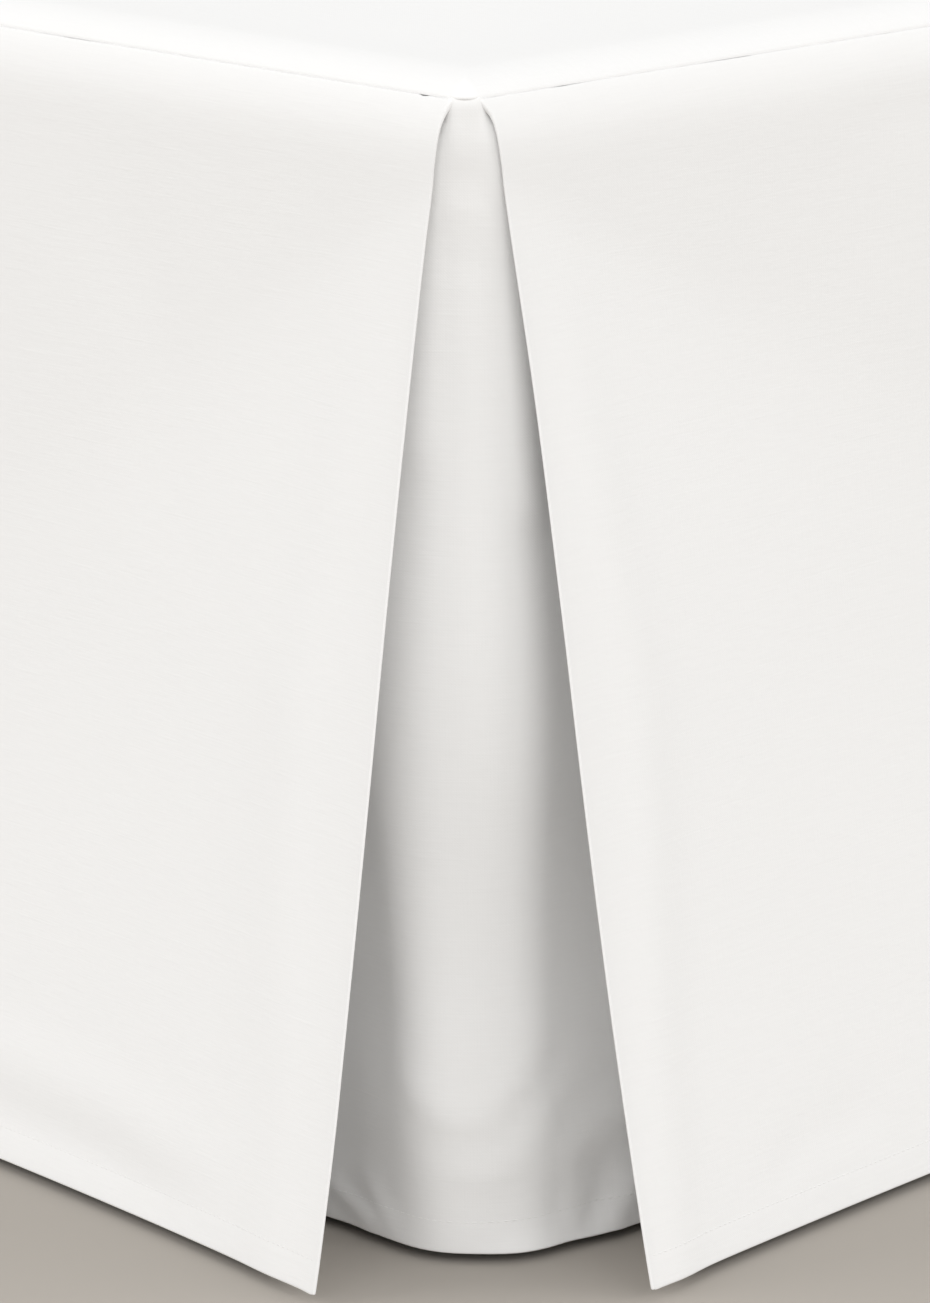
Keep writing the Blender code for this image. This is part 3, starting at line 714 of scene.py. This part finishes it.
def add_stitches(name, frames, finish):
    """One mesh of short stitches, each a thread that rises from the cloth and dips at both its ends."""
    middle, along, normal = (np.concatenate(parts) for parts in zip(*frames))
    along = along / np.linalg.norm(along, axis=1, keepdims=True)
    normal = normal / np.linalg.norm(normal, axis=1, keepdims=True)
    across = np.cross(along, normal)
    points = []
    for place, size, rise in STITCH_RINGS:
        for angle in 2 * np.pi * np.arange(STITCH_SIDES) / STITCH_SIDES:
            points.append(
                middle
                + along * (STITCH_LENGTH * place)
                + across * (STITCH_WIDTH / 2 * size * np.cos(angle))
                + normal * (STITCH_HEIGHT / 2 * (size * np.sin(angle) + rise))
            )
    points = np.stack(points, axis=1)
    rings = np.arange(STITCH_SIDES * len(STITCH_RINGS)).reshape(-1, STITCH_SIDES)
    after = np.roll(rings, -1, axis=1)
    sides = np.stack([rings[:-1], after[:-1], after[1:], rings[1:]], axis=-1).reshape(-1, 4)
    caps = np.stack([rings[0, ::-1], rings[-1]])
    faces = []
    for first in range(0, rings.size * len(points), rings.size):
        faces += (sides + first).tolist() + (caps + first).tolist()
    stitches = add_mesh(name, points, faces, finish)
    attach(stitches, "root")
    return stitches


# ---- the hanging cloths ----


def nearest(values, value):
    return int(np.argmin(np.abs(values - value)))


def add_drop(name, run, creases, gapes, finish, thread):
    rows = cloth_rows(0)
    grid = drop_grid(run, rows, gapes)
    flat = flat_places(grid, rows, FOLD_COLUMN)
    u = flat[..., 0]
    to_hem = np.broadcast_to((rows[-1] - rows)[:, None], u.shape)
    relief = seam_relief(flat) + hem_relief(u, to_hem) + creased(flat, creases)
    if run.far:
        last, stop = grid.shape[1] - 1 - FOLD_COLUMN, STITCH_START
        to_end = np.full(u.shape, np.inf)
        to_fold = np.minimum(np.abs(u), np.abs(u - u[:, last : last + 1]))
    else:
        last, stop = grid.shape[1] - 1, STITCH_LINE
        to_end = u[:, -1:] - u
        to_fold = np.abs(u)
        relief = relief + hem_relief(flat[..., 1], to_end)
    middle, normals = raised(grid, relief, np.sign(np.cross(run.along, -UP) @ run.outward))
    cloth, face = add_cloth(name, middle, flat, normals, *hem_layers(to_hem, to_end, to_fold), finish)
    row = nearest(to_hem[:, 0], STITCH_LINE)
    sewn = row, slice(FOLD_COLUMN, last + 1)
    frames = [stitch_frames(face[sewn], normals[sewn], STITCH_START, stop)]
    if run.far is None:
        sewn = slice(row + 1), nearest(to_end[-1], STITCH_LINE)
        frames.append(stitch_frames(face[sewn], normals[sewn], STITCH_START, 0))
    stitches = add_stitches(name + "_stitches", frames, thread)
    dress(cloth)


def add_insert(name, corner, foot, side, bulges, finish, thread):
    """side is 1 at the right foot corner, and -1 at the left one, where the creases are mirrored."""
    rows = cloth_rows(-(TUCK_ANGLE - SEAM_ANGLE) * EDGE_RADIUS)
    grid = insert_grid(corner, foot, bulges, rows)
    flat = flat_places(grid, rows, CORNER_COLUMN)
    u = flat[..., 0]
    to_hem = np.broadcast_to((rows[-1] - rows)[:, None], u.shape)
    relief = hem_relief(u, to_hem) + creased(flat * (side, 1), INSERT_CREASES)
    relief = np.where(flat[..., 1] > 0, relief, np.minimum(relief, UNDER_DECK))
    middle, normals = raised(grid, relief, -side)
    cloth, face = add_cloth(name, middle, flat, normals, *hem_layers(to_hem, np.inf, np.inf), finish)
    row = nearest(to_hem[:, 0], STITCH_LINE)
    frames = [stitch_frames(face[row], normals[row], STITCH_START, STITCH_START)]
    stitches = add_stitches(name + "_stitches", frames, thread)
    dress(cloth)


# ---- deck ----


def ring_stations(length):
    """Distances of a ring's columns along one side of the bed, the same from both its ends."""
    count = round((length - 2 * EVEN_INSET) / DECK_STEP)
    even = np.linspace(EVEN_INSET, length - EVEN_INSET, count + 1)
    return np.concatenate([[GRID_INSET], even, [length - GRID_INSET]])


def outline(offset_at, corner_at, height_at, stations, corner_steps):
    """Points of a rounded rectangle round the bed, anticlockwise from above.

    offset_at, corner_at and height_at give the offset, rounding and height for a distance from the
    nearest foot corner. stations gives the distances of its points along a side of some length."""
    head_left = LEFT_CORNER + HEADWARD * BOX_LENGTH
    sides = (
        (LEFT_CORNER, RIGHTWARD, FOOTWARD, BOX_WIDTH, True, True),
        (RIGHT_CORNER, HEADWARD, RIGHTWARD, BOX_LENGTH, True, False),
        (head_left + RIGHTWARD * BOX_WIDTH, LEFTWARD, HEADWARD, BOX_WIDTH, False, False),
        (head_left, FOOTWARD, LEFTWARD, BOX_LENGTH, False, True),
    )
    points = []
    for corner, along, outward, length, foot_start, foot_end in sides:
        first = 0.0 if foot_start else FAR_AWAY
        offset, radius = offset_at(first), corner_at(first)
        centre = corner + (along - outward) * (radius - offset)
        for angle in np.pi / 2 * np.arange(corner_steps) / corner_steps:
            turn = outward * math.sin(angle) - along * math.cos(angle)
            points.append(centre + turn * radius + UP * height_at(first))
        for place in [radius - offset, *stations(length)]:
            from_start = place if foot_start else FAR_AWAY
            from_end = length - place if foot_end else FAR_AWAY
            near = min(from_start, from_end)
            points.append(corner + along * place + outward * offset_at(near) + UP * height_at(near))
    return points


def skin(work, lines, closed=True):
    """Adds quads between lines of points, each closed into a ring or open, and returns their verts."""
    loops = [[work.verts.new(point) for point in line] for line in lines]
    for lower, upper in zip(loops, loops[1:]):
        for i in range(0 if closed else 1, len(lower)):
            work.faces.new((lower[i - 1], lower[i], upper[i], upper[i - 1]))
    return loops


def finished_mesh(work, name, finish):
    mesh = bpy.data.meshes.new(name)
    work.to_mesh(mesh)
    work.free()
    mesh.shade_smooth()
    mesh.materials.append(finish)
    return mesh


def deck_relief(flat, inside):
    """Waves and wrinkles of the deck; inside is the distance in from its edge."""
    x, y = flat[..., 0], flat[..., 1]
    uneven = 0
    for wide, long, high, phase in DECK_WAVES:
        uneven = uneven + high * (1 + np.sin(2 * np.pi * (x / wide + y / long) + phase))
    return uneven * ease((inside - DECK_WAVE_START) / DECK_WAVE_RISE) + creased(flat, DECK_CREASES)


def head_stitches():
    """Frames of the stitches along the deck's own hem, at the head of the bed."""
    angle = SEAM_ANGLE + STITCH_LINE / EDGE_RADIUS
    radial = EDGE_RADIUS + ON_BOX + seam_profile(STITCH_LINE) + CLOTH / 2
    normal = np.array((0, math.cos(angle), math.sin(angle)))
    centre = np.array((0, HEAD_Y - EDGE_RADIUS, TURN_HEIGHT))
    ends = np.array((HALF_WIDTH - DECK_CORNER, DECK_CORNER - HALF_WIDTH))
    line = centre + normal * radial + ends[:, None] * RIGHTWARD
    return stitch_frames(line, np.tile(normal, (2, 1)), STITCH_START, STITCH_START)


def deck_ring(angle):
    """Points of the deck's ring at an angle up the rounded top edge."""
    hold = 1 - ease((angle - SEAM_ANGLE) / (math.pi / 2 - SEAM_ANGLE))
    rise = seam_profile((angle - SEAM_ANGLE) * EDGE_RADIUS)

    def radial(distance):
        return EDGE_RADIUS + ON_BOX + rise + lift(distance) * hold

    return outline(
        lambda distance: radial(distance) * math.cos(angle) - EDGE_RADIUS,
        lambda distance: max(DECK_CORNER - radial(distance) * (1 - math.cos(angle)), SHARPEST),
        lambda distance: radial(distance) * math.sin(angle) + TURN_HEIGHT,
        ring_stations,
        DECK_CORNER_STEPS,
    )


def deck_mesh(finish):
    """The deck's middle surface: rings over the rounded top edge, then one grid across the flat top."""
    top = TURN_HEIGHT + EDGE_RADIUS + ON_BOX
    angles = [SEAM_ANGLE + (SEAM_SLIT + below) / EDGE_RADIUS for below in SEAM_ROWS]
    rings = [deck_ring(angle) for angle in [*angles, *np.radians(DECK_RINGS)]]
    rings.append(outline(lambda d: -GRID_INSET, lambda d: 0, lambda d: top, ring_stations, DECK_CORNER_STEPS))
    xs, ys = ring_stations(BOX_WIDTH) - HALF_WIDTH, ring_stations(BOX_LENGTH) + FOOT_Y
    work = bmesh.new()
    inner = skin(work, rings)[-1]
    for row in skin(work, [[(x, y, top) for x in xs] for y in ys], closed=False):
        inner += row
    bmesh.ops.remove_doubles(work, verts=inner, dist=WELD)
    bmesh.ops.dissolve_degenerate(work, edges=work.edges, dist=SLIVER)
    return finished_mesh(work, "skirt_deck", finish)


def add_deck(finish, thread):
    """The platform cloth, with its waves, wrinkles and thickness."""
    mesh = deck_mesh(finish)
    points, normals = np.empty((2, 3 * len(mesh.vertices)))
    mesh.vertices.foreach_get("co", points)
    mesh.vertices.foreach_get("normal", normals)
    points, normals = points.reshape(-1, 3), normals.reshape(-1, 3)
    x, y = points[:, 0], points[:, 1]
    inside = np.minimum.reduce([HALF_WIDTH - np.abs(x), y - FOOT_Y, HEAD_Y - y])
    raised_points = points + normals * deck_relief(points[:, :2], inside)[:, None]
    mesh.vertices.foreach_set("co", raised_points.ravel())
    deck = add_object("skirt_deck", mesh)
    map_flat_places(deck, points[:, :2])
    solid = deck.modifiers.new("thickness", "SOLIDIFY")
    solid.thickness = CLOTH
    solid.offset = 0
    solid.use_even_offset = True
    stitches = add_stitches("skirt_deck_stitches", [head_stitches()], thread)
    dress(deck)


# ---- box spring ----


def box_outline(inset, height, step):
    """Points of one level of the box spring, with rounded upright corners."""
    radius = max(BOX_CORNER - inset, SHARPEST)

    def stations(length):
        return np.linspace(radius + inset, length - radius - inset, round(length / step) + 1)[1:-1]

    return outline(lambda d: -inset, lambda d: radius, lambda d: height, stations, BOX_CORNER_STEPS)


def cover_levels():
    """(inset, height) of the cover's levels from the bottom up. Its side swells out a little between
    the two grooves that the piping lies in."""
    low, high = PIPING_HEIGHTS
    rim = COVER_INSET + GROOVE_RIM
    start, reach = low + GROOVE_ROOM, high - low - 2 * GROOVE_ROOM
    levels = []
    for angle in np.radians(LOW_ANGLES):
        inset, rise = BOX_LOW_EDGE * (1 - math.sin(angle)), BOX_LOW_EDGE * (1 - math.cos(angle))
        levels.append((inset + COVER_CLEAR, BOX_BOTTOM + rise))
    levels += [(COVER_INSET, low - GROOVE_CLEAR), (GROOVE, low - GROOVE_HALF), (GROOVE, low + GROOVE_HALF)]
    levels.append((rim, start))
    for part in SWELL_PARTS:
        levels.append((COVER_INSET - COVER_SWELL * math.sin(math.pi * part), start + reach * part))
    levels += [(rim, high - GROOVE_ROOM), (GROOVE, high - GROOVE_HALF), (GROOVE, high + GROOVE_HALF)]
    levels += [(COVER_INSET, high + GROOVE_CLEAR), (SHOULDER_INSET, high + SHOULDER)]
    for angle in np.radians(HIGH_ANGLES):
        inset, fall = BOX_TOP_EDGE * (1 - math.cos(angle)), BOX_TOP_EDGE * (1 - math.sin(angle))
        levels.append((inset + COVER_CLEAR, BOX_TOP - COVER_CLEAR - fall))
    return levels


def add_piping(name, height, finish):
    curve = bpy.data.curves.new(name, "CURVE")
    curve.dimensions = "3D"
    curve.bevel_depth = PIPING_RADIUS
    curve.bevel_resolution = 3
    places = box_outline(PIPING_RADIUS + PIPING_CLEAR, height, PIPING_STEP)
    spline = curve.splines.new("POLY")
    spline.points.add(len(places) - 1)
    for point, place in zip(spline.points, places):
        point.co = (*place, 1)
    spline.use_cyclic_u = True
    curve.materials.append(finish)
    piping = add_object(name, curve)
    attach(piping, "root")


def add_box_spring(finish, piping_finish):
    work = bmesh.new()
    loops = skin(work, [box_outline(inset, height, COVER_STEP) for inset, height in cover_levels()])
    work.faces.new(loops[-1])
    work.faces.new(reversed(loops[0]))
    mesh = finished_mesh(work, "box_spring_cover", finish)
    mesh.set_sharp_from_angle(angle=SHARP)
    box = add_object("box_spring_cover", mesh)
    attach(box, "root")
    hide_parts("box_spring")
    for name, height in zip(("box_piping_low", "box_piping_high"), PIPING_HEIGHTS):
        add_piping(name, height, piping_finish)


# ---- materials ----


class Finish:
    """A material and its nodes, added one call at a time."""

    def __init__(self, name, roughness, specular=0.5, sheen=0.0):
        self.material = bpy.data.materials.new(name)
        self.material.use_nodes = True
        self.tree = self.material.node_tree
        self.shader = self.tree.nodes["Principled BSDF"]
        self.shader.inputs["Roughness"].default_value = roughness
        self.shader.inputs["Specular IOR Level"].default_value = specular
        self.shader.inputs["Sheen Weight"].default_value = sheen
        self.shader.inputs["Sheen Roughness"].default_value = 0.5

    def node(self, kind, inputs, **settings):
        made = self.tree.nodes.new(kind)
        for name, value in settings.items():
            setattr(made, name, value)
        for name, value in inputs.items():
            self.put(made.inputs[name], value)
        return made

    def put(self, socket, value):
        if isinstance(value, bpy.types.NodeSocket):
            self.tree.links.new(value, socket)
        else:
            socket.default_value = value

    def maths(self, operation, first, second=0.0):
        return self.node("ShaderNodeMath", {0: first, 1: second}, operation=operation).outputs[0]

    def times(self, first, second):
        return self.maths("MULTIPLY", first, second)

    def plus(self, first, second):
        return self.maths("ADD", first, second)

    def place(self):
        return self.node("ShaderNodeTexCoord", {}).outputs["Object"]

    def noise(self, vector, scale, detail=2.0, roughness=0.5):
        inputs = {"Vector": vector, "Scale": scale, "Detail": detail, "Roughness": roughness}
        return self.node("ShaderNodeTexNoise", inputs).outputs["Fac"]

    def stretched(self, source, scale):
        """A vector with each part multiplied by its own scale."""
        return self.node("ShaderNodeVectorMath", {0: source, 1: scale}, operation="MULTIPLY").outputs[0]

    def colours(self, share, low, high):
        mix = self.node("ShaderNodeMix", {"Factor": share}, data_type="RGBA")
        colour_inputs = [s for s in mix.inputs if s.type == "RGBA"]
        colour_inputs[0].default_value = (*low, 1)
        colour_inputs[1].default_value = (*high, 1)
        colour = [s for s in mix.outputs if s.type == "RGBA"][0]
        self.put(self.shader.inputs["Base Color"], colour)

    def bump(self, height, distance, strength=1.0):
        made = self.node("ShaderNodeBump", {"Strength": strength, "Distance": distance, "Height": height})
        self.put(self.shader.inputs["Normal"], made.outputs["Normal"])


def cotton():
    """White plain-weave cotton and linen: uneven threads both ways, a fine crossing and long slubs."""
    finish = Finish("skirt_cotton", roughness=0.88, specular=0.25, sheen=0.12)
    times, plus = finish.times, finish.plus
    flat = finish.node("ShaderNodeUVMap", {}, uv_map="cloth").outputs["UV"]

    def grain(scale, detail=2, roughness=0.6):
        return finish.noise(finish.stretched(flat, (*scale, 0)), 1, detail, roughness)

    weft, warp, slub = grain((55, 1700)), grain((1900, 48)), grain((34, 620), 1, 0.4)
    slub = times(finish.maths("MAXIMUM", finish.maths("SUBTRACT", slub, 0.60)), 1.6)
    parts = finish.node("ShaderNodeSeparateXYZ", {"Vector": flat})
    across = finish.maths("SINE", times(parts.outputs["X"], math.pi / THREAD_PITCH))
    down = finish.maths("SINE", times(parts.outputs["Y"], math.pi / THREAD_PITCH))
    crossing = times(times(across, down), 0.10)
    uneven = grain((80, 230))
    threads = plus(times(weft, 0.55), times(warp, 0.4))
    height = plus(plus(plus(threads, crossing), slub), times(uneven, 1.8))
    finish.bump(height, distance=0.00010, strength=0.55)
    cloudy = grain((7, 9), 3)
    share = plus(plus(times(weft, 0.45), times(cloudy, 0.35)), times(warp, 0.25))
    finish.colours(share, (0.776, 0.774, 0.770), (0.826, 0.824, 0.820))
    return finish.material


def grained(name, grain, bump, low, high, **gloss):
    """Thread or moulded plastic: one fine grain in its height and its colour."""
    finish = Finish(name, **gloss)
    height = finish.noise(finish.place(), *grain)
    finish.bump(height, distance=bump)
    finish.colours(height, low, high)
    return finish.material


def sewing_thread():
    colours = (0.79, 0.788, 0.782), (0.83, 0.828, 0.822)
    return grained("sewing_thread", (2600, 1), 0.00004, *colours, roughness=0.6, specular=0.4, sheen=0.1)


def moulded_plastic():
    colours = (0.024, 0.024, 0.025), (0.040, 0.040, 0.041)
    return grained("glide_plastic", (1500, 2, 0.6), 0.00006, *colours, roughness=0.55, specular=0.4)


def ticking(name, low, high):
    """Plain woven ticking of the box spring."""
    finish = Finish(name, roughness=0.92, specular=0.2, sheen=0.1)
    place = finish.place()
    ribs = finish.noise(finish.stretched(place, (1100, 1100, 120)), 1)
    rows = finish.noise(finish.stretched(place, (120, 120, 1300)), 1)
    weave = finish.plus(finish.times(ribs, 0.5), finish.times(rows, 0.5))
    finish.bump(weave, distance=0.00022)
    finish.colours(weave, low, high)
    return finish.material


def powder_coat():
    finish = Finish("frame_steel", roughness=0.42)
    place = finish.place()
    finish.bump(finish.noise(place, 900), distance=0.00008)
    worn = finish.noise(place, 14, 4, 0.6)
    finish.colours(worn, (0.032, 0.032, 0.035), (0.055, 0.055, 0.058))
    finish.put(finish.shader.inputs["Roughness"], finish.plus(finish.times(worn, 0.2), 0.34))
    return finish.material


def plain_floor():
    finish = Finish("plain_floor", roughness=0.9, specular=0.1)
    lighter = tuple(1.02 * part for part in FLOOR_COLOUR)
    finish.colours(finish.noise(finish.place(), 2, 3), FLOOR_COLOUR, lighter)
    return finish.material


def finish_frame():
    """Powder coat on the rails and legs, and plastic on the glides."""
    steel, plastic = powder_coat(), moulded_plastic()
    for name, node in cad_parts.items():
        if name.startswith(("rail_", "beam_", "leg_")):
            node.material_slots[0].material = steel
        elif name.startswith("glide_"):
            node.material_slots[0].material = plastic


# ---- floor, light and camera ----


def add_sun(name, azimuth, elevation, strength, width):
    """A soft sun that shines from an azimuth and an elevation, in degrees."""
    light = bpy.data.lights.new(name, "SUN")
    light.energy = strength
    light.angle = math.radians(width)
    sun = add_object(name, light)
    a, e = math.radians(azimuth), math.radians(elevation)
    towards = Vector((math.sin(a) * math.cos(e), -math.cos(a) * math.cos(e), math.sin(e)))
    sun.rotation_mode = "QUATERNION"
    sun.rotation_quaternion = towards.to_track_quat("Z", "Y")


def add_stage():
    """The plain floor, the soft light all round, and the suns."""
    across, along = FLOOR_SIZE / 2 * RIGHTWARD, FLOOR_SIZE / 2 * HEADWARD
    corners = np.array([-across - along, across - along, across + along, along - across]) + FLOOR_LEVEL * UP
    add_mesh("floor", corners, [(0, 1, 2, 3)], plain_floor())
    world = bpy.data.worlds.new("studio")
    world.use_nodes = True
    background = world.node_tree.nodes["Background"]
    background.inputs["Color"].default_value = (1.0, 0.998, 0.99, 1)
    background.inputs["Strength"].default_value = WORLD_LIGHT
    for i, sun in enumerate(SUNS):
        add_sun(f"sun_{i}", *sun)
    scene = bpy.context.scene
    scene.world = world
    scene.view_settings.view_transform = "Standard"
    scene.view_settings.look = "None"
    scene.view_settings.exposure = 0.0


def add_camera():
    data = bpy.data.cameras.new("camera")
    data.lens = FOCAL_PIXELS / PHOTO_HEIGHT * SENSOR
    data.sensor_width = SENSOR
    data.sensor_fit = "AUTO"
    data.clip_start, data.clip_end = 0.05, 2000
    camera = add_object("camera", data)
    back = Vector((1, -1, 0)).normalized()
    seam_corner = Vector((HALF_WIDTH - SEAM_INSET, FOOT_Y + SEAM_INSET, CAMERA_HEIGHT))
    camera.location = seam_corner + CAMERA_DISTANCE * back
    look = -back * math.cos(CAMERA_PITCH) - Vector((0, 0, math.sin(CAMERA_PITCH)))
    camera.rotation_mode = "QUATERNION"
    camera.rotation_quaternion = look.to_track_quat("-Z", "Y")
    bpy.context.scene.camera = camera


def main():
    white, thread = cotton(), sewing_thread()
    add_deck(white, thread)
    add_drop("skirt_drop_foot", FOOT_RUN, FOOT_CREASES, FOOT_GAPES, white, thread)
    add_drop("skirt_drop_right", RIGHT_RUN, RIGHT_CREASES, RIGHT_GAPES, white, thread)
    add_drop("skirt_drop_left", LEFT_RUN, LEFT_CREASES, LEFT_GAPES, white, thread)
    add_insert("skirt_insert_right", RIGHT_CORNER, LEFTWARD, 1, BULGES_RIGHT, white, thread)
    add_insert("skirt_insert_left", LEFT_CORNER, RIGHTWARD, -1, BULGES_LEFT, white, thread)
    add_box_spring(
        ticking("box_ticking", (0.60, 0.585, 0.545), (0.72, 0.705, 0.665)),
        ticking("box_piping", (0.50, 0.485, 0.45), (0.60, 0.585, 0.55)),
    )
    finish_frame()
    add_stage()
    add_camera()


main()
